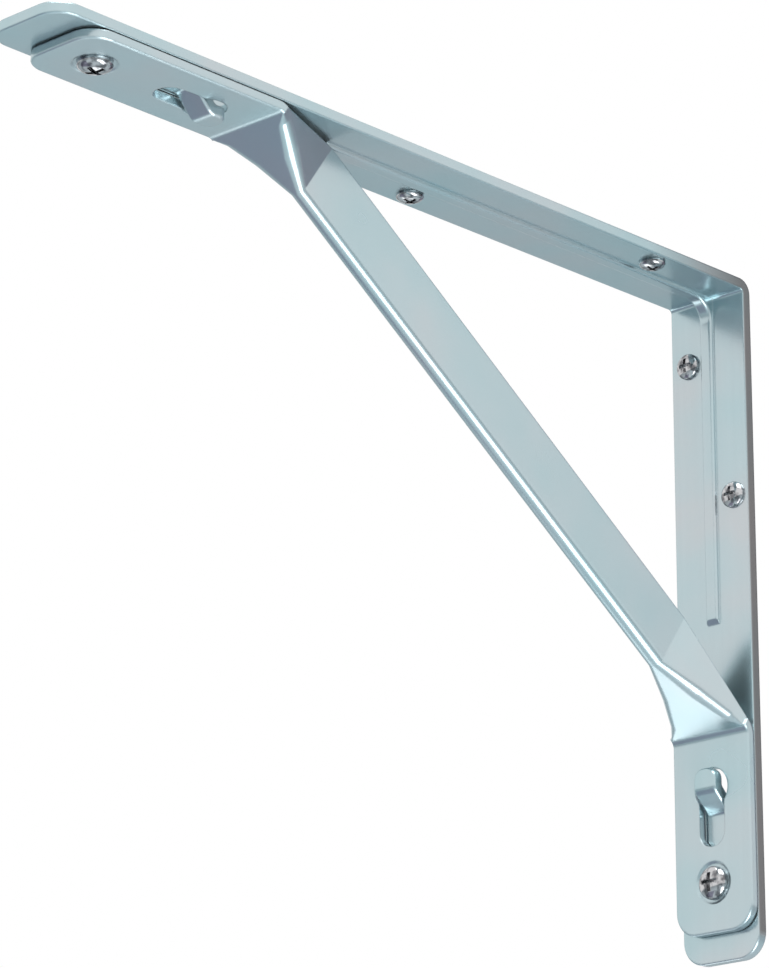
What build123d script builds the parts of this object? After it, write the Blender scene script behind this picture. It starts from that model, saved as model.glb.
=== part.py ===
from build123d import *
import math
import os

# Braced L bracket: a folded angle arm, a folded diagonal brace and six screws.
# All lengths are in mm. The bend of the arm is first laid out at the origin,
# the shelf arm runs along -X, the wall arm hangs along -Z and +Y is across.

# overall
shelfReach = 300.0
wallDrop = 220.0
stripWidth = 30.0

# arm strip
armThick = 3.5
armBend = 1.3
armTip = 8.0
armEdge = 0.5
rimBevel = 0.3

# bead pressed into the middle of the arm
beadWidth = 4.8
beadRise = 1.3
beadOnShelf = 182.0
beadOnWall = 112.5
beadBend = 7.0
beadRunOut = 1.6
grooveWidth = 3.2

# brace strip
braceThick = 2.8
standOff = 0.5
braceFold = 3.0
braceTip = 8.0
braceEdge = 0.4
shelfMargin = 13.0
wallMargin = 8.6
shelfPlate = 74.1
wallPlate = 62.1
shelfTipToScrew = 15.0
wallTipToScrew = 15.7

# folded middle of the brace
ridgeGap = 0.2
ridgeDepth = 21.5
ridgeBow = 1.2
ridgeEdge = 0.4
shelfTaper = 26.0
wallTaper = 32.0
creaseRound = 4.4

# keyholes, measured from the fold of the brace
keyRim = 10.0
keyBig = 13.0
keySlot = 10.0
keyLength = 25.0

# hooks lanced out of the arm
hookWidth = 8.4
hookCorner = 3.4
hookRim = 0.7
hookFlat = 7.1
hookSlope = 6.4
hookRound = 1.5
slitWidth = 0.8
slitEnd = 2.2
windowExtra = 3.4

# screws
bigHead = 10.6
bigRise = 3.1
bigShank = 5.4
smallHead = 8.5
smallRise = 2.4
smallShank = 4.4
holePlay = 0.6
shankShort = 0.3
dishTop = 13.8
dishFloor = 12.0
crossWidth = 1.3
rowNear = 9.0
rowFar = 8.0
shelfRow = (135.1, 41.6)
wallRow = (24.5, 71.4)

# height of the part's own origin below the shelf
frameDrop = 132.0

# positions that follow from the sizes above, each measured along its arm from the bend
half = stripWidth / 2
shelfEnd = shelfReach - shelfMargin
wallEnd = wallDrop - wallMargin
shelfFold = shelfEnd - shelfPlate
wallFold = wallEnd - wallPlate
shelfScrew = shelfEnd - shelfTipToScrew
wallScrew = wallEnd - wallTipToScrew
plateRise = standOff + braceThick
ridgeHalf = braceThick + ridgeGap / 2
slope = math.atan2(wallFold - armThick - plateRise, shelfFold - armThick - plateRise)

# the inner faces of the two arms: x runs from the bend to the tip, z out of the face
shelfFace = Plane(origin=(0, 0, -armThick), x_dir=(-1, 0, 0), z_dir=(0, 0, -1))
wallFace = Plane(origin=(-armThick, 0, 0), x_dir=(0, 0, -1), z_dir=(-1, 0, 0))

# across each arm, y of its face plane that points to the near edge
shelfNear = -1
wallNear = 1


def sideFace(points, radii):
    # closed outline in the X-Z plane with each corner rounded to its own radius
    lines = []
    count = len(points)
    corners = []
    for i in range(count):
        here = Vector(*points[i])
        back = (Vector(*points[i - 1]) - here).normalized()
        ahead = (Vector(*points[(i + 1) % count]) - here).normalized()
        turn = math.radians(back.get_angle(ahead)) / 2
        reach = radii[i] / math.tan(turn)
        middle = (back + ahead).normalized() * (radii[i] / math.sin(turn) - radii[i])
        corners.append((here + back * reach, here + middle, here + ahead * reach))
    for i in range(count):
        start, through, end = corners[i]
        if radii[i] > 0:
            lines.append(ThreePointArc(start, through, end))
        lines.append(Line(end, corners[(i + 1) % count][0]))
    return make_face(Wire(lines))


def armBlank():
    shelf = Pos(-shelfReach / 2, -armThick / 2) * Rectangle(shelfReach, armThick)
    wall = Pos(-armThick / 2, -wallDrop / 2) * Rectangle(armThick, wallDrop)
    section = shelf + wall
    outer = section.vertices().sort_by_distance((0, 0, 0))[0]
    section = fillet(outer, armBend + armThick)
    inner = section.vertices().sort_by_distance((-armThick, -armThick, 0))[0]
    section = fillet(inner, armBend)
    blank = extrude(Plane.XZ * section, amount=half, both=True)
    shelfCorners = blank.edges().filter_by(Axis.Z).group_by(Axis.X)[0]
    blank = fillet(shelfCorners, armTip)
    wallCorners = blank.edges().filter_by(Axis.X).group_by(Axis.Z)[0]
    blank = fillet(wallCorners, armTip)
    inner = [e for e in blank.edges() if onFace(e, armThick) and not onFold(e)]
    blank = fillet(inner, armEdge)
    outer = [e for e in blank.edges() if onFace(e, 0) and not onFold(e)]
    return chamfer(outer, rimBevel)


def onFace(edge, depth):
    # true for an edge that lies a given depth below the outer faces of the arm, or in its bend
    middle = edge @ 0.5
    if edge.geom_type == GeomType.CIRCLE and abs(abs(middle.Y) - half) < 0.01:
        return abs(edge.radius - (armBend + armThick - depth)) < 0.01
    return min(abs(middle.X + depth), abs(middle.Z + depth)) < 0.01 and edge.bounding_box().size.Y < stripWidth


def onFold(edge):
    # true for an edge that runs straight across the strip beside its bend, or through its thickness
    ends = edge @ 0 - edge @ 1
    across = abs(ends.X) < 0.01 and abs(ends.Z) < 0.01
    middle = edge @ 0.5
    nearBend = min(middle.X, middle.Z) > -armThick * 3
    through = abs(ends.Y) < 0.01 and ends.length < armThick + 0.01 and edge.geom_type == GeomType.LINE
    return (across and nearBend) or through


def ribbon(near, deep, bend, width, fromShelf, fromWall):
    # L-shaped band that follows both arms between two depths below the outer faces
    shelf = Pos(-(fromShelf + near) / 2, -(near + deep) / 2) * Rectangle(fromShelf - near, deep - near)
    wall = Pos(-(near + deep) / 2, -(fromWall + near) / 2) * Rectangle(deep - near, fromWall - near)
    section = shelf + wall
    inner = section.vertices().sort_by_distance((-deep, -deep, 0))[0]
    section = fillet(inner, bend)
    outer = section.vertices().sort_by_distance((-near, -near, 0))[0]
    section = fillet(outer, max(armBend + armThick - near, armBend))
    return extrude(Plane.XZ * section, amount=width / 2, both=True)


def beadBand():
    # raised side of the bead, with rounded crests and an end that slopes down to each arm
    proud = armThick + beadRise
    band = ribbon(armThick / 2, proud, beadBend, beadWidth, beadOnShelf, beadOnWall)
    crests = [e for e in band.edges() if onCrest(e, proud)]
    band = fillet(crests, beadRise * 0.8)
    for face, reach in ((shelfFace, beadOnShelf), (wallFace, beadOnWall)):
        slant = Plane(origin=(reach, 0, 0), x_dir=(0, 1, 0), z_dir=(beadRise, 0, beadRunOut))
        band = band - face * (slant * Pos(0, 0, armThick) * Box(stripWidth, 8 * armThick, 2 * armThick))
    return band


def onCrest(edge, proud):
    # true for the long edges of the bead at its raised side, straight or round the bend
    middle = edge @ 0.5
    if edge.bounding_box().size.Y > 0.01 or abs(abs(middle.Y) - beadWidth / 2) > 0.01:
        return False
    if edge.geom_type == GeomType.CIRCLE:
        return abs(edge.radius - beadBend) < 0.01
    return min(abs(middle.X + proud), abs(middle.Z + proud)) < 0.01 and edge.length > 4 * beadWidth


def hookProfile(fold):
    # side view of a hook, with x from the bend of the arm and y out of its inner face
    rise = plateRise
    head = fold + keyRim + hookRim
    bend = head + hookFlat
    root = bend + hookSlope
    end = fold + keyRim + keyLength - slitEnd
    angle = math.atan2(rise + armThick, hookSlope)
    shift = armThick * math.tan(angle / 2)
    points = [
        (head, rise),
        (head, rise + armThick),
        (bend, rise + armThick),
        (root, 0),
        (end, 0),
        (end, -armThick),
        (root - shift, -armThick),
        (bend - shift, rise),
    ]
    return sideFace(points, [0, 0, armThick, hookRound, 0, 0, armThick, hookRound])


def hook(fold):
    # tongue with a round-cornered head
    body = extrude(Plane.XZ * hookProfile(fold), amount=hookWidth / 2, both=True)
    top = fold + keyRim + hookRim
    corners = [e for e in body.edges().filter_by(Axis.Z) if abs(e.center().X - top) < 0.01]
    body = fillet(corners, hookCorner)
    face = body.faces().sort_by(Axis.Z)[-1]
    rims = [e for e in face.edges() if abs(e.center().X - (top + hookFlat)) > hookFlat / 8]
    return chamfer(rims, armEdge)


def hookWindow(fold):
    # opening that the tongue leaves in the arm, with a slit along each side of its root
    top = fold + keyRim + hookRim - windowExtra
    root = fold + keyRim + hookRim + hookFlat + hookSlope - armThick * 0.45
    end = fold + keyRim + keyLength - slitEnd
    width = hookWidth + 2 * slitWidth
    depth = armThick * 3
    room = Pos((top + root) / 2, 0, 0) * Box(root - top, width, depth)
    corners = room.edges().filter_by(Axis.Z).group_by(Axis.X)[0]
    room = fillet(corners, hookCorner + slitWidth)
    slits = [
        Pos((root + end) / 2 - 0.5, side * (hookWidth + slitWidth) / 2, 0) * Box(end - root + 1, slitWidth, depth)
        for side in (-1, 1)
    ]
    return room + slits[0] + slits[1]


def keyhole(fold):
    # outline of the keyhole, with its round end towards the bend of the arm
    big = fold + keyRim + keyBig / 2
    small = fold + keyRim + keyLength - keySlot / 2
    slot = Pos((big + small) / 2, 0) * Rectangle(small - big, keySlot)
    shape = slot + Pos(big, 0) * Circle(keyBig / 2) + Pos(small, 0) * Circle(keySlot / 2)
    return Pos(0, 0, -armThick) * extrude(shape, amount=armThick + 3 * plateRise)


def angleArm():
    arm = armBlank()
    grooveReach = beadOnShelf - beadRunOut
    grooveDrop = beadOnWall - beadRunOut
    groove = ribbon(-rimBevel, beadRise, armBend + armThick - beadRise, grooveWidth, grooveReach, grooveDrop)
    arm = arm + beadBand() - groove
    holes = []
    for face, near, row in ((shelfFace, shelfNear, shelfRow), (wallFace, wallNear, wallRow)):
        for x, y in screwSpots(near, row):
            holes.append(face * Pos(x, y, 0) * Cylinder((smallShank + holePlay) / 2, armThick * 3))
    for face, x in ((shelfFace, shelfScrew), (wallFace, wallScrew)):
        holes.append(face * Pos(x, 0, 0) * Cylinder((bigShank + holePlay) / 2, armThick * 3))
    for tool in holes:
        arm = arm - tool
    for face, fold in ((shelfFace, shelfFold), (wallFace, wallFold)):
        arm = arm - face * hookWindow(fold)
        arm = arm + face * hook(fold)
    return arm


def screwSpots(near, row):
    # one screw on each side of the bead
    return [(row[0], -near * rowFar), (row[1], near * rowNear)]


def ridgeSection(width, depth, bow, crown):
    # section across the folded brace: x is across the strip, y is the depth from the ridge
    inner = max(width - braceThick, ridgeGap / 2)
    pocket = min(max(crown - braceThick, ridgeGap / 4), inner * 0.9)
    free = ridgeEdge
    points = [
        (-width, depth - bow),
        (-width, -bow),
        (width, -bow),
        (width, depth - bow),
        (inner, depth - bow),
        (inner, braceThick - bow),
        (-inner, braceThick - bow),
        (-inner, depth - bow),
    ]
    return sideFace(points, [free, crown, crown, free, 0, pocket, pocket, 0])


def diagonalBrace():
    run = shelfFold - armThick - plateRise
    fall = wallFold - armThick - plateRise
    length = math.hypot(run, fall)
    along = Vector(run / length, 0, -fall / length)
    inward = Vector(fall / length, 0, run / length)
    start = Vector(-shelfFold, 0, -armThick - plateRise)

    def section(station, width, depth, bow, crown):
        place = Plane(origin=start + along * station, x_dir=(0, 1, 0), z_dir=-along)
        if place.y_dir.dot(inward) < 0:
            place = Plane(origin=start + along * station, x_dir=(0, -1, 0), z_dir=-along)
        return place * ridgeSection(width, depth, bow, crown)

    # the bent strip: both end plates, their folds and a stub of the web
    stubs = []
    for face, fold, end, angle, screw in (
        (shelfFace, shelfFold, shelfEnd, slope, shelfScrew),
        (wallFace, wallFold, wallEnd, math.pi / 2 - slope, wallScrew),
    ):
        stub = foldReach(angle)
        back = (fold - stub * math.cos(angle), plateRise + stub * math.sin(angle))
        lift = (back[0] - braceThick * math.sin(angle), back[1] - braceThick * math.cos(angle))
        knee = fold - braceThick * math.tan(angle / 2)
        points = [(end, standOff), (end, plateRise), (fold, plateRise), back, lift, (knee, standOff)]
        side = sideFace(points, [0, 0, braceFold, 0, 0, braceFold + braceThick])
        piece = extrude(Plane.XZ * side, amount=half, both=True)
        corners = piece.edges().filter_by(Axis.Z).group_by(Axis.X)[-1]
        piece = fillet(corners, braceTip)
        rims = [e for e in piece.edges() if abs(e.center().Z - plateRise) < 0.01 and e.center().X > fold + 4 * braceFold]
        piece = chamfer(rims, braceEdge)
        piece = piece + Pos(screw, 0, standOff / 2) * Cylinder(dishFloor / 2, standOff)
        piece = piece - Pos(screw, 0, plateRise) * dish()
        piece = piece - Pos(screw, 0, 0) * Cylinder((bigShank + holePlay) / 2, 4 * plateRise)
        piece = piece - keyhole(fold)
        stubs.append(face * piece)

    web = []
    spans = []
    for taper, angle, first in ((shelfTaper, slope, True), (wallTaper, math.pi / 2 - slope, False)):
        stations = []
        for step, crown in ((0, braceEdge), (0.14, 3.4), (0.5, creaseRound), (1, ridgeHalf - ridgeGap / 2)):
            reach = foldReach(angle) - 0.1
            reach = reach + (taper - reach) * step
            share = reach / taper
            depth = braceThick + (ridgeDepth - braceThick) * share
            place = reach if first else length - reach
            stations.append(section(place, half + (ridgeHalf - half) * share, depth, ridgeBow * share, crown))
        web.append(loft(stations if first else stations[::-1], ruled=True))
        spans.append(stations[-1])
    web = web[0] + loft(spans, ruled=True) + web[1]
    return stubs[0] + web + stubs[1]


def foldReach(angle):
    # how far the rounded fold runs up the web from its corner line, with a little to spare
    return braceFold * math.tan(angle / 2) + 0.2


def dish():
    # shallow round dish that takes the head of a brace screw
    return Pos(0, 0, -standOff / 2) * Cone(dishFloor / 2, dishTop / 2, standOff)


def panScrew(head, rise, shank, length):
    # domed head on the +z side of the origin, shank below it
    outline = Polyline(
        (0, -length),
        (shank / 2, -length),
        (shank / 2, 0),
        (head / 2, 0),
        (head / 2, rise * 0.3),
        (head * 0.41, rise * 0.72),
        (head * 0.22, rise),
        (0, rise),
        close=True,
    )
    body = revolve(Plane.XZ * make_face(outline), Axis.Z)
    recess = Pos(0, 0, rise) * Box(head * 0.52, crossWidth, rise * 1.1)
    recess = recess + Pos(0, 0, rise) * Box(crossWidth, head * 0.52, rise * 1.1)
    return body - recess


def braceScrews():
    seat = plateRise - standOff
    length = seat + armThick - shankShort
    screw = panScrew(bigHead, bigRise, bigShank, length)
    return [face * Pos(x, 0, seat) * screw for face, x in ((shelfFace, shelfScrew), (wallFace, wallScrew))]


def armScrews():
    screw = panScrew(smallHead, smallRise, smallShank, armThick - shankShort)
    places = []
    for face, near, row in ((shelfFace, shelfNear, shelfRow), (wallFace, wallNear, wallRow)):
        for x, y in screwSpots(near, row):
            places.append(face * Pos(x, y, 0) * screw)
    return places


def save(name, solids):
    # the part's own frame has its origin on the plain part of the wall face
    lift = Pos(0, 0, frameDrop)
    export_step(Compound(label=name, children=[lift * s for s in solids]), "parts/" + name + ".step")


os.makedirs("parts", exist_ok=True)
save("angle_arm", angleArm().solids())
save("diagonal_brace", diagonalBrace().solids())
save("brace_screws", braceScrews())
save("arm_screws", armScrews())
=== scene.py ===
import math
import bpy
import bmesh
from mathutils import Matrix, Quaternion, Vector


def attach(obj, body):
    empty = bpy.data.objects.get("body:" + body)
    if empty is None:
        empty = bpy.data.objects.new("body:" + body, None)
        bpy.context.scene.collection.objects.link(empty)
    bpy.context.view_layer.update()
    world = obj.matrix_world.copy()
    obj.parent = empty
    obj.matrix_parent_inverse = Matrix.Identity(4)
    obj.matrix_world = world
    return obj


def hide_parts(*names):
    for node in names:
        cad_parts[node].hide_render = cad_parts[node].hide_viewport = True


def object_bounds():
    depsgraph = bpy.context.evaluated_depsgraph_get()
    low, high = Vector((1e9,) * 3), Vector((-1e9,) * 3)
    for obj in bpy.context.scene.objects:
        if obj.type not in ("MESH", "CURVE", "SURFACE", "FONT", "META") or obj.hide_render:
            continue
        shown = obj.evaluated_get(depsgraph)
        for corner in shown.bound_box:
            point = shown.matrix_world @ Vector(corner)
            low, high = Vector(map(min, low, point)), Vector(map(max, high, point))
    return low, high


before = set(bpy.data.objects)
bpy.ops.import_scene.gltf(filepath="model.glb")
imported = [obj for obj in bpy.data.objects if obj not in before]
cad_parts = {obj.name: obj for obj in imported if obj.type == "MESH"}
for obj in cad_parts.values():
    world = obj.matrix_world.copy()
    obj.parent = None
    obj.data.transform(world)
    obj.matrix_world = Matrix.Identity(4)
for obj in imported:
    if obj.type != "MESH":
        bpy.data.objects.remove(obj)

# metres throughout; +Z up, +X into the wall, Y across the bracket
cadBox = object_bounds()
low = Vector(cadBox[0])
high = Vector(cadBox[1])
reach = high.x - low.x
print("frame loaded, bracket", round(reach, 3), "by", round(high.z - low.z, 3))


# small helpers for node trees

def newGroup(name, inputs, outputs, kind="ShaderNodeTree"):
    group = bpy.data.node_groups.new(name, kind)
    for title, socket, value in inputs:
        made = group.interface.new_socket(name=title, in_out="INPUT", socket_type=socket)
        if value is not None:
            made.default_value = value
    for title, socket in outputs:
        group.interface.new_socket(name=title, in_out="OUTPUT", socket_type=socket)
    return group, group.nodes.new("NodeGroupInput"), group.nodes.new("NodeGroupOutput")


def addNode(tree, kind, **settings):
    node = tree.nodes.new(kind)
    for key, value in settings.items():
        setattr(node, key, value)
    return node


def maths(tree, operation, first, second=None):
    node = addNode(tree, "ShaderNodeMath", operation=operation)
    for socket, value in zip(node.inputs, (first, second)):
        if isinstance(value, bpy.types.NodeSocket):
            tree.links.new(value, socket)
        elif value is not None:
            socket.default_value = value
    return node.outputs[0]


def blendColours(tree, factor, first, second):
    node = addNode(tree, "ShaderNodeMix", data_type="RGBA")
    sockets = (node.inputs[0], node.inputs[6], node.inputs[7])
    for socket, value in zip(sockets, (factor, first, second)):
        if isinstance(value, bpy.types.NodeSocket):
            tree.links.new(value, socket)
        else:
            socket.default_value = value
    return node.outputs[2]


def spread(tree, value, fromLow, fromHigh, toLow, toHigh):
    node = addNode(tree, "ShaderNodeMapRange")
    tree.links.new(value, node.inputs["Value"])
    limits = {"From Min": fromLow, "From Max": fromHigh, "To Min": toLow, "To Max": toHigh}
    for key, amount in limits.items():
        if isinstance(amount, bpy.types.NodeSocket):
            tree.links.new(amount, node.inputs[key])
        else:
            node.inputs[key].default_value = amount
    return node.outputs["Result"]


# finishes, with lengths in metres

zincLook = {
    "base": (0.500, 0.600, 0.630, 1.0),
    "cool": (0.39, 0.585, 0.62, 1.0),
    "warm": (0.60, 0.585, 0.60, 1.0),
    "cloudSize": 26.0,      # cells per metre of the drifting tint
    "cloudDetail": 2.5,
    "cloudEven": 0.5,       # noise value that keeps the base colour
    "cloudCool": 0.72,      # noise values where each tint is full
    "cloudWarm": 0.30,
    "tintAmount": 0.55,
    "streaks": 420.0,       # rolling lines per metre across the strip
    "streakDetail": 4.0,
    "streakAmount": 0.05,
    "streakStretch": (0.02, 1.0, 0.02),
    "metal": 0.9,
    "roughness": 0.2,
    "roughSwing": 0.09,
    "grainSize": 2600.0,
    "grainDetail": 3.0,
    "grainDepth": 0.000004,
    "grainStrength": 0.5,
    "edgeRound": 0.0007,
    # painted dark reflection on the sides of the hanging arm
    "paintedSideReflection": (0.12, 0.10, 0.096, 1.0),
    "paintedSideDepth": 0.0003,     # how far in from the side of the strip the painted dark reflection reaches
    "paintedSideFrom": -0.05,       # along X, where the painted dark reflection on the sides begins and where it is full
    "paintedSideFull": -0.004,
    "edgeSamples": 6,
}

screwLook = {
    "base": (0.60, 0.60, 0.61, 1.0),
    # dark patches painted at random stand in for dark reflections in the heads
    "shade": (0.07, 0.07, 0.08, 1.0),
    "roughness": 0.12,
    "grainSize": 480.0,
    "shadeFrom": 0.42,      # noise values where the painted dark reflection begins and is full
    "shadeFull": 0.62,
    "shadeAmount": 0.8,
    "edgeRound": 0.0002,
    "edgeSamples": 6,
}


def zincFinishGroup():
    # drifting tint, rolling streaks, fine grain, a painted dark reflection on the hanging arm's sides and
    # softened edges of bright zinc plate
    inputs = [
        ("Place", "NodeSocketVector", None),
        ("Base", "NodeSocketColor", zincLook["base"]),
        ("Cool", "NodeSocketColor", zincLook["cool"]),
        ("Warm", "NodeSocketColor", zincLook["warm"]),
        ("Cloud size", "NodeSocketFloat", zincLook["cloudSize"]),
        ("Tint amount", "NodeSocketFloat", zincLook["tintAmount"]),
        ("Streaks", "NodeSocketFloat", zincLook["streaks"]),
        ("Streak amount", "NodeSocketFloat", zincLook["streakAmount"]),
        ("Roughness", "NodeSocketFloat", zincLook["roughness"]),
        ("Rough swing", "NodeSocketFloat", zincLook["roughSwing"]),
        ("Grain size", "NodeSocketFloat", zincLook["grainSize"]),
        ("Grain depth", "NodeSocketFloat", zincLook["grainDepth"]),
        # colour and strength of the painted dark reflection on the strip's sides
        ("Painted side reflection", "NodeSocketColor", zincLook["paintedSideReflection"]),
        ("Painted side amount", "NodeSocketFloat", 0.0),
        ("Half width", "NodeSocketFloat", high.y),
    ]
    outputs = [
        ("Colour", "NodeSocketColor"),
        ("Roughness", "NodeSocketFloat"),
        ("Normal", "NodeSocketVector"),
    ]
    tree, given, made = newGroup("zinc finish", inputs, outputs)
    place = given.outputs["Place"]
    # cloudy tint that drifts from teal to a faint pink
    cloud = addNode(tree, "ShaderNodeTexNoise")
    cloud.inputs["Detail"].default_value = zincLook["cloudDetail"]
    tree.links.new(place, cloud.inputs["Vector"])
    tree.links.new(given.outputs["Cloud size"], cloud.inputs["Scale"])
    amount = given.outputs["Tint amount"]
    coolMask = spread(tree, cloud.outputs["Fac"], zincLook["cloudEven"], zincLook["cloudCool"], 0.0, amount)
    warmMask = spread(tree, cloud.outputs["Fac"], zincLook["cloudEven"], zincLook["cloudWarm"], 0.0, amount)
    tinted = blendColours(tree, coolMask, given.outputs["Base"], given.outputs["Cool"])
    tinted = blendColours(tree, warmMask, tinted, given.outputs["Warm"])
    # the sides of the hanging arm are painted darker and browner, a painted reflection of darker
    # surroundings
    parts = addNode(tree, "ShaderNodeSeparateXYZ")
    tree.links.new(place, parts.inputs[0])
    offCentre = maths(tree, "ABSOLUTE", parts.outputs["Y"])
    inward = maths(tree, "SUBTRACT", given.outputs["Half width"], offCentre)
    side = spread(tree, inward, zincLook["paintedSideDepth"], 0.0, 0.0, given.outputs["Painted side amount"])
    hanging = spread(tree, parts.outputs["X"], zincLook["paintedSideFrom"], zincLook["paintedSideFull"], 0.0, 1.0)
    tinted = blendColours(tree, maths(tree, "MULTIPLY", side, hanging), tinted, given.outputs["Painted side reflection"])
    # rolling lines vary only across the strip, so they run along both arms
    across = addNode(tree, "ShaderNodeVectorMath", operation="MULTIPLY")
    across.inputs[1].default_value = zincLook["streakStretch"]
    tree.links.new(place, across.inputs[0])
    lines = addNode(tree, "ShaderNodeTexNoise")
    lines.inputs["Detail"].default_value = zincLook["streakDetail"]
    tree.links.new(across.outputs[0], lines.inputs["Vector"])
    tree.links.new(given.outputs["Streaks"], lines.inputs["Scale"])
    swing = maths(tree, "SUBTRACT", lines.outputs["Fac"], 0.5)
    swing = maths(tree, "MULTIPLY", swing, given.outputs["Streak amount"])
    bright = maths(tree, "ADD", 1.0, swing)
    scaled = addNode(tree, "ShaderNodeVectorMath", operation="SCALE")
    tree.links.new(tinted, scaled.inputs[0])
    tree.links.new(bright, scaled.inputs["Scale"])
    tree.links.new(scaled.outputs[0], made.inputs["Colour"])
    # polish varies with the cloud
    polish = maths(tree, "SUBTRACT", cloud.outputs["Fac"], 0.5)
    polish = maths(tree, "MULTIPLY", polish, given.outputs["Rough swing"])
    polish = maths(tree, "ADD", polish, given.outputs["Roughness"])
    tree.links.new(polish, made.inputs["Roughness"])
    # grain, over edges rounded by a fraction of a millimetre
    grain = addNode(tree, "ShaderNodeTexNoise")
    grain.inputs["Detail"].default_value = zincLook["grainDetail"]
    tree.links.new(place, grain.inputs["Vector"])
    tree.links.new(given.outputs["Grain size"], grain.inputs["Scale"])
    soft = addNode(tree, "ShaderNodeBevel", samples=zincLook["edgeSamples"])
    soft.inputs["Radius"].default_value = zincLook["edgeRound"]
    bump = addNode(tree, "ShaderNodeBump")
    bump.inputs["Strength"].default_value = zincLook["grainStrength"]
    tree.links.new(given.outputs["Grain depth"], bump.inputs["Distance"])
    tree.links.new(grain.outputs["Fac"], bump.inputs["Height"])
    tree.links.new(soft.outputs["Normal"], bump.inputs["Normal"])
    tree.links.new(bump.outputs["Normal"], made.inputs["Normal"])
    return tree


def zincMaterial(name, group, changes, shift):
    material = bpy.data.materials.new(name)
    material.use_nodes = True
    tree = material.node_tree
    shader = tree.nodes["Principled BSDF"]
    shader.inputs["Metallic"].default_value = zincLook["metal"]
    finish = addNode(tree, "ShaderNodeGroup", node_tree=group)
    for key, value in changes.items():
        finish.inputs[key].default_value = value
    spot = addNode(tree, "ShaderNodeTexCoord")
    moved = addNode(tree, "ShaderNodeMapping")
    moved.inputs["Location"].default_value = shift
    tree.links.new(spot.outputs["Object"], moved.inputs["Vector"])
    tree.links.new(moved.outputs["Vector"], finish.inputs["Place"])
    tree.links.new(finish.outputs["Colour"], shader.inputs["Base Color"])
    tree.links.new(finish.outputs["Roughness"], shader.inputs["Roughness"])
    tree.links.new(finish.outputs["Normal"], shader.inputs["Normal"])
    return material


def screwMaterial():
    # bright plated heads with dark reflections painted in random patches
    material = bpy.data.materials.new("screw plate")
    material.use_nodes = True
    tree = material.node_tree
    shader = tree.nodes["Principled BSDF"]
    shader.inputs["Metallic"].default_value = 1.0
    shader.inputs["Roughness"].default_value = screwLook["roughness"]
    spot = addNode(tree, "ShaderNodeTexCoord")
    grain = addNode(tree, "ShaderNodeTexNoise")
    grain.inputs["Scale"].default_value = screwLook["grainSize"]
    tree.links.new(spot.outputs["Object"], grain.inputs["Vector"])
    shadeFrom, shadeFull = screwLook["shadeFrom"], screwLook["shadeFull"]
    # mask of the painted dark reflections
    mask = spread(tree, grain.outputs["Fac"], shadeFrom, shadeFull, 0.0, screwLook["shadeAmount"])
    colour = blendColours(tree, mask, screwLook["base"], screwLook["shade"])
    tree.links.new(colour, shader.inputs["Base Color"])
    soft = addNode(tree, "ShaderNodeBevel", samples=screwLook["edgeSamples"])
    soft.inputs["Radius"].default_value = screwLook["edgeRound"]
    tree.links.new(soft.outputs["Normal"], shader.inputs["Normal"])
    return material


zincGroup = zincFinishGroup()
# the arm carries the painted dark reflection on its sides
armChanges = {"Roughness": 0.23, "Painted side amount": 0.8}
braceChanges = {"Roughness": 0.26, "Tint amount": 0.45}
armShift = (0.0, 0.0, 0.0)
braceShift = (0.31, 0.17, 0.05)     # gives the brace clouds of its own
armZinc = zincMaterial("arm zinc", zincGroup, armChanges, armShift)
braceZinc = zincMaterial("brace zinc", zincGroup, braceChanges, braceShift)
screwPlate = screwMaterial()


def paintNode(node, material):
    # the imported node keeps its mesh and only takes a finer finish
    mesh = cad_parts[node].data
    mesh.materials.clear()
    mesh.materials.append(material)


paintNode("angle_arm", armZinc)
paintNode("diagonal_brace", braceZinc)
print("finishes on the arm and the brace")


# one tree makes the pan head, the shank and the cross of a screw, and sets it at every place

screwShape = {
    "rimShare": 0.22,       # height of the widest line of the head, as a share of its rise
    "crossReach": 0.56,     # length of the cross over the head's diameter
    "crossWidth": 0.13,
    "crossDepth": 0.62,     # share of the rise
    "rootShare": 0.2,       # how far the shank runs up into the head
    "domeSides": 64,
    "domeRings": 32,
    "shankSides": 48,
    "sharpAngle": math.radians(32),
    "millimetre": 0.001,    # the tree works in millimetres
}


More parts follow.
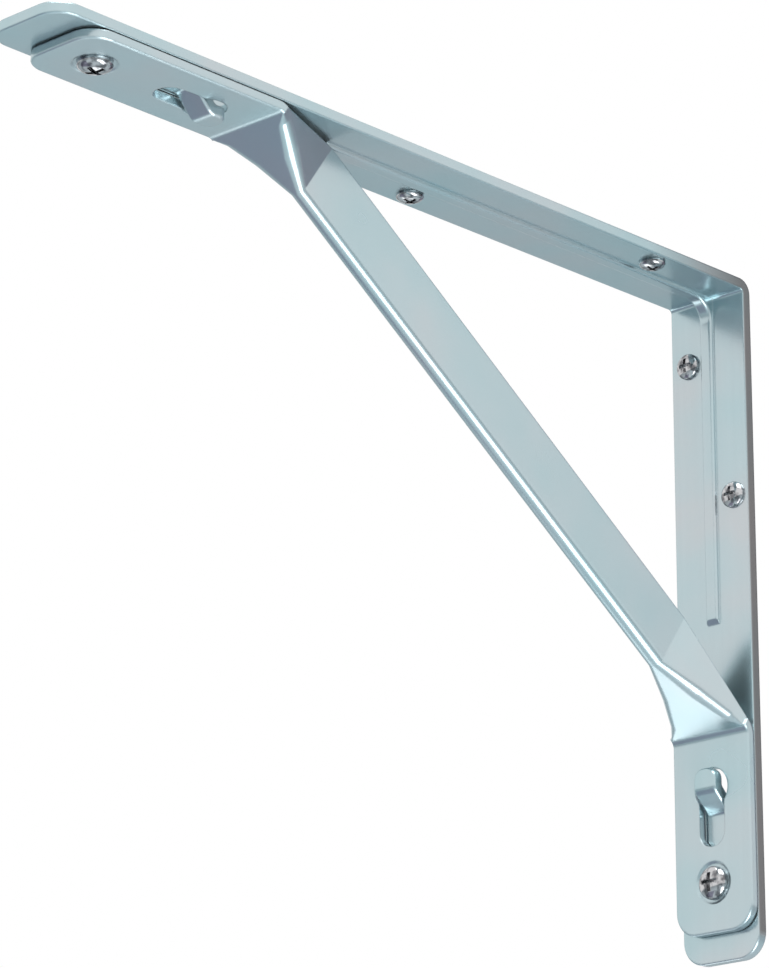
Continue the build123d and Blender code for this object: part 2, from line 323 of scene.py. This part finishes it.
def screwTree():
    inputs = [
        ("Places", "NodeSocketGeometry", None),
        ("Head", "NodeSocketFloat", None),
        ("Rise", "NodeSocketFloat", None),
        ("Shank", "NodeSocketFloat", None),
        ("Length", "NodeSocketFloat", None),
        ("Finish", "NodeSocketMaterial", None),
    ]
    outputs = [("Screws", "NodeSocketGeometry")]
    tree, given, made = newGroup("pan screws", inputs, outputs, "GeometryNodeTree")

    def size(name, share):
        return maths(tree, "MULTIPLY", given.outputs[name], share)

    def vector(x, y, z):
        node = addNode(tree, "ShaderNodeCombineXYZ")
        for socket, value in zip(node.inputs, (x, y, z)):
            if isinstance(value, bpy.types.NodeSocket):
                tree.links.new(value, socket)
            else:
                socket.default_value = value
        return node.outputs[0]

    def block(sides, centre):
        cube = addNode(tree, "GeometryNodeMeshCube")
        tree.links.new(sides, cube.inputs["Size"])
        return placed(cube.outputs["Mesh"], centre)

    def placed(shape, centre, scale=None):
        node = addNode(tree, "GeometryNodeTransform")
        tree.links.new(shape, node.inputs["Geometry"])
        tree.links.new(centre, node.inputs["Translation"])
        if scale is not None:
            tree.links.new(scale, node.inputs["Scale"])
        return node.outputs["Geometry"]

    def combine(operation, first, others):
        node = addNode(tree, "GeometryNodeMeshBoolean", operation=operation, solver="EXACT")
        key = "Mesh 1" if operation == "DIFFERENCE" else "Mesh 2"
        tree.links.new(first, node.inputs[key])
        for other in others:
            tree.links.new(other, node.inputs["Mesh 2"])
        return node.outputs["Mesh"]

    ball = addNode(tree, "GeometryNodeMeshUVSphere")
    ball.inputs["Segments"].default_value = screwShape["domeSides"]
    ball.inputs["Rings"].default_value = screwShape["domeRings"]
    ball.inputs["Radius"].default_value = 1.0
    halfHead = size("Head", 0.5)
    rim = screwShape["rimShare"]
    domeSize = vector(halfHead, halfHead, size("Rise", 1 - rim))
    dome = placed(ball.outputs["Mesh"], vector(0.0, 0.0, size("Rise", rim)), domeSize)
    belowSize = vector(size("Head", 2.0), size("Head", 2.0), size("Rise", 2.0))
    below = block(belowSize, vector(0.0, 0.0, size("Rise", -1.0)))
    crossLong = size("Head", screwShape["crossReach"])
    crossWide = size("Head", screwShape["crossWidth"])
    crossTall = size("Rise", 2 * screwShape["crossDepth"])
    top = vector(0.0, 0.0, given.outputs["Rise"])
    slotOne = block(vector(crossLong, crossWide, crossTall), top)
    slotTwo = block(vector(crossWide, crossLong, crossTall), top)
    head = combine("DIFFERENCE", dome, [below, slotOne, slotTwo])
    rod = addNode(tree, "GeometryNodeMeshCylinder")
    rod.inputs["Vertices"].default_value = screwShape["shankSides"]
    tree.links.new(size("Shank", 0.5), rod.inputs["Radius"])
    overlap = size("Rise", screwShape["rootShare"])
    tree.links.new(maths(tree, "ADD", given.outputs["Length"], overlap), rod.inputs["Depth"])
    lowered = maths(tree, "SUBTRACT", overlap, given.outputs["Length"])
    centre = maths(tree, "MULTIPLY", lowered, 0.5)
    shank = placed(rod.outputs["Mesh"], vector(0.0, 0.0, centre))
    screw = combine("UNION", head, [shank])
    smooth = addNode(tree, "GeometryNodeSetShadeSmooth", domain="FACE")
    tree.links.new(screw, smooth.inputs["Geometry"])
    angle = addNode(tree, "GeometryNodeInputMeshEdgeAngle")
    sharp = addNode(tree, "FunctionNodeCompare", data_type="FLOAT", operation="GREATER_THAN")
    tree.links.new(angle.outputs["Unsigned Angle"], sharp.inputs[0])
    sharp.inputs[1].default_value = screwShape["sharpAngle"]
    crisp = addNode(tree, "GeometryNodeSetShadeSmooth", domain="EDGE")
    tree.links.new(smooth.outputs["Geometry"], crisp.inputs["Geometry"])
    tree.links.new(sharp.outputs["Result"], crisp.inputs["Selection"])
    crisp.inputs["Shade Smooth"].default_value = False
    turn = addNode(tree, "GeometryNodeInputNamedAttribute", data_type="FLOAT_VECTOR")
    turn.inputs["Name"].default_value = "turn"
    rotation = addNode(tree, "FunctionNodeEulerToRotation")
    tree.links.new(turn.outputs["Attribute"], rotation.inputs[0])
    spots = addNode(tree, "GeometryNodeInstanceOnPoints")
    tree.links.new(given.outputs["Places"], spots.inputs["Points"])
    tree.links.new(crisp.outputs["Geometry"], spots.inputs["Instance"])
    tree.links.new(rotation.outputs[0], spots.inputs["Rotation"])
    spots.inputs["Scale"].default_value = (screwShape["millimetre"],) * 3
    real = addNode(tree, "GeometryNodeRealizeInstances")
    tree.links.new(spots.outputs["Instances"], real.inputs["Geometry"])
    finish = addNode(tree, "GeometryNodeSetMaterial")
    tree.links.new(real.outputs["Geometry"], finish.inputs["Geometry"])
    tree.links.new(given.outputs["Finish"], finish.inputs["Material"])
    tree.links.new(finish.outputs["Geometry"], made.inputs["Screws"])
    return tree


def solidsOf(node):
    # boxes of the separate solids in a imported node
    weld = 1e-6
    shape = bmesh.new()
    shape.from_mesh(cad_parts[node].data)
    bmesh.ops.remove_doubles(shape, verts=shape.verts, dist=weld)
    left = set(shape.verts)
    boxes = []
    while left:
        island = [left.pop()]
        for vert in island:
            for edge in vert.link_edges:
                other = edge.other_vert(vert)
                if other in left:
                    left.remove(other)
                    island.append(other)
        places = [v.co for v in island]
        boxes.append((
            Vector([min(p[k] for p in places) for k in range(3)]),
            Vector([max(p[k] for p in places) for k in range(3)]),
        ))
    shape.free()
    return boxes


def screwPlaces(node, sizes):
    # seat and turn of each screw; a screw in the wall arm is as tall as it is wide
    places = []
    turns = []
    for lowest, highest in solidsOf(node):
        span = highest - lowest
        onShelf = abs(span.x - span.y) < abs(span.z - span.y)
        head = span.y
        centre = (lowest + highest) / 2
        total = span.z if onShelf else span.x
        if onShelf:
            places.append(Vector((centre.x, centre.y, lowest.z + sizes["rise"])))
            turns.append((math.pi, 0.0, sizes["twist"]))
        else:
            places.append(Vector((lowest.x + sizes["rise"], centre.y, centre.z)))
            turns.append((0.0, -math.pi / 2, 0.0))
    return places, turns, head, total


def makeScrews(name, node, tree, sizes):
    places, turns, head, total = screwPlaces(node, sizes)
    mesh = bpy.data.meshes.new(name + " places")
    mesh.from_pydata(places, [], [])
    attribute = mesh.attributes.new("turn", "FLOAT_VECTOR", "POINT")
    for item, turn in zip(attribute.data, turns):
        item.vector = turn
    holder = bpy.data.objects.new(name + "_places", mesh)
    bpy.context.scene.collection.objects.link(holder)
    modifier = holder.modifiers.new("screws", "NODES")
    modifier.node_group = tree
    millimetre = screwShape["millimetre"]
    values = {
        "Head": head / millimetre,
        "Rise": sizes["rise"] / millimetre,
        "Shank": sizes["shank"] / millimetre,
        "Length": (total - sizes["rise"]) / millimetre,
        "Finish": screwPlate,
    }
    for item in tree.interface.items_tree:
        if item.in_out == "INPUT" and item.name in values:
            modifier[item.identifier] = values[item.name]
    bpy.context.view_layer.update()
    graph = bpy.context.evaluated_depsgraph_get()
    plain = bpy.data.meshes.new_from_object(holder.evaluated_get(graph))
    plain.name = name
    bpy.data.objects.remove(holder)
    made = bpy.data.objects.new(name, plain)
    bpy.context.scene.collection.objects.link(made)
    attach(made, "root")
    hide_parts(node)
    print(name, len(plain.polygons), "faces on", len(places), "screws")


# twist turns the cross of the screws under the shelf arm
braceScrew = {"rise": 0.0031, "shank": 0.0054, "twist": 0.25}
armScrew = {"rise": 0.0024, "shank": 0.0044, "twist": 0.0}

panScrews = screwTree()
makeScrews("brace_pan_screws", "brace_screws", panScrews, braceScrew)
makeScrews("arm_pan_screws", "arm_screws", panScrews, armScrew)


# studio: pale floor, white surroundings, soft lamps and two flags that give the metal its contrast

studio = {
    "floorLevel": -0.55,
    "floorSize": 14.0,
    "floorColour": (0.57, 0.655, 0.69, 1.0),
    "fill": 0.62,           # how strongly the surroundings light matt things
    "mattRoughness": 0.9,
    "mattShine": 0.1,
}

lamps = (
    {
        "name": "overhead softbox",
        "at": (-0.5, -0.5, 1.7),
        "aim": (-0.1, 0.0, 0.0),
        "size": (1.6, 1.6),
        "power": 34.0,
        "spin": 0.0,
    },
    {
        "name": "low front softbox",    # lights the ridge and the creases of the brace
        "at": (-0.14, -0.46, -0.5),
        "aim": (-0.14, -0.46, 0.5),
        "size": (0.80, 0.38),
        "power": 3.7,
        "spin": -0.6,
    },
    {
        "name": "low back softbox",     # lights the lower facet
        "at": (0.16, 0.44, -0.5),
        "aim": (0.16, 0.44, 0.5),
        "size": (0.36, 0.36),
        "power": 0.55,
        "spin": 0.0,
    },
)

# across and up reach from the middle of a flag to its sides
flags = (
    {
        "name": "flag below",           # darkens the upper facet
        "at": (-0.63, 0.62, -0.53),
        "across": (0.48, 0, 0),
        "up": (0, 0.36, 0),
        "colour": (0.27, 0.28, 0.36, 1),
    },
    {
        "name": "flag beyond the wall",     # darkens the flange beside that facet
        "at": (0.5, -0.02, 0.2),
        "across": (0, 0.34, 0),
        "up": (0, 0, 0.45),
        "colour": (0.24, 0.22, 0.27, 1),
    },
)


def mattMaterial(name, colour):
    material = bpy.data.materials.new(name)
    material.use_nodes = True
    shader = material.node_tree.nodes["Principled BSDF"]
    shader.inputs["Base Color"].default_value = colour
    shader.inputs["Roughness"].default_value = studio["mattRoughness"]
    shader.inputs["Specular IOR Level"].default_value = studio["mattShine"]
    return material


def openFromBelow(material):
    # the floor is seen through from underneath, so low views aren't blocked
    tree = material.node_tree
    sides = addNode(tree, "ShaderNodeNewGeometry")
    clear = addNode(tree, "ShaderNodeBsdfTransparent")
    choice = addNode(tree, "ShaderNodeMixShader")
    tree.links.new(sides.outputs["Backfacing"], choice.inputs[0])
    tree.links.new(tree.nodes["Principled BSDF"].outputs[0], choice.inputs[1])
    tree.links.new(clear.outputs[0], choice.inputs[2])
    tree.links.new(choice.outputs[0], tree.nodes["Material Output"].inputs["Surface"])


def panel(name, centre, across, up, colour):
    centre, across, up = Vector(centre), Vector(across), Vector(up)
    corners = [centre - across - up, centre + across - up, centre + across + up, centre - across + up]
    mesh = bpy.data.meshes.new(name)
    mesh.from_pydata(corners, [], [(0, 1, 2, 3)])
    mesh.materials.append(mattMaterial(name, colour))
    made = bpy.data.objects.new(name, mesh)
    bpy.context.scene.collection.objects.link(made)
    return made


def softLamp(lamp):
    light = bpy.data.lights.new(lamp["name"], "AREA")
    light.shape = "RECTANGLE"
    light.size, light.size_y = lamp["size"]
    light.energy = lamp["power"]
    made = bpy.data.objects.new(lamp["name"], light)
    made.location = lamp["at"]
    aim = Vector(lamp["aim"]) - made.location
    made.rotation_euler = (aim.to_track_quat("-Z", "Y") @ Quaternion((0, 0, 1), lamp["spin"])).to_euler()
    bpy.context.scene.collection.objects.link(made)


def whiteSurroundings():
    # white where it is seen, directly or in metal, and softer where it lights matt things
    world = bpy.data.worlds.new("surroundings")
    bpy.context.scene.world = world
    world.use_nodes = True
    tree = world.node_tree
    paths = addNode(tree, "ShaderNodeLightPath")
    seen = maths(tree, "MAXIMUM", paths.outputs["Is Camera Ray"], paths.outputs["Is Glossy Ray"])
    seen = maths(tree, "MAXIMUM", seen, paths.outputs["Is Transmission Ray"])
    strength = spread(tree, seen, 0.0, 1.0, studio["fill"], 1.0)
    tree.links.new(strength, tree.nodes["Background"].inputs["Strength"])
    tree.nodes["Background"].inputs["Color"].default_value = (1.0, 1.0, 1.0, 1.0)


half = studio["floorSize"] / 2
floor = panel("floor", (0, 0, studio["floorLevel"]), (half, 0, 0), (0, half, 0), studio["floorColour"])
openFromBelow(floor.data.materials[0])
for flag in flags:
    card = panel(flag["name"], flag["at"], flag["across"], flag["up"], flag["colour"])
    card.visible_camera = False
    card.visible_shadow = False
    card.visible_diffuse = False
for lamp in lamps:
    softLamp(lamp)
whiteSurroundings()
print("studio ready")


# camera, low in front of the shelf's free end

shot = {
    "place": (-1.000122, -0.800302, -0.348231),
    "turn": math.radians(46.58),      # from +Y towards +X
    "rise": math.radians(18.009),
    "roll": math.radians(0.126),
    "lens": 197.3,
    "filmWidth": 36.0,
    "farthest": 20.0,
}


def setCamera():
    scene = bpy.context.scene
    data = bpy.data.cameras.new("camera")
    data.sensor_fit = "HORIZONTAL"
    data.sensor_width = shot["filmWidth"]
    data.lens = shot["lens"]
    data.clip_end = shot["farthest"]
    made = bpy.data.objects.new("camera", data)
    scene.collection.objects.link(made)
    scene.camera = made
    ahead = Vector((
        math.sin(shot["turn"]) * math.cos(shot["rise"]),
        math.cos(shot["turn"]) * math.cos(shot["rise"]),
        math.sin(shot["rise"]),
    ))
    turned = ahead.to_track_quat("-Z", "Y").to_matrix().to_4x4()
    made.matrix_world = Matrix.Translation(shot["place"]) @ turned @ Matrix.Rotation(shot["roll"], 4, "Z")


setCamera()
bpy.context.scene.view_settings.view_transform = "Standard"
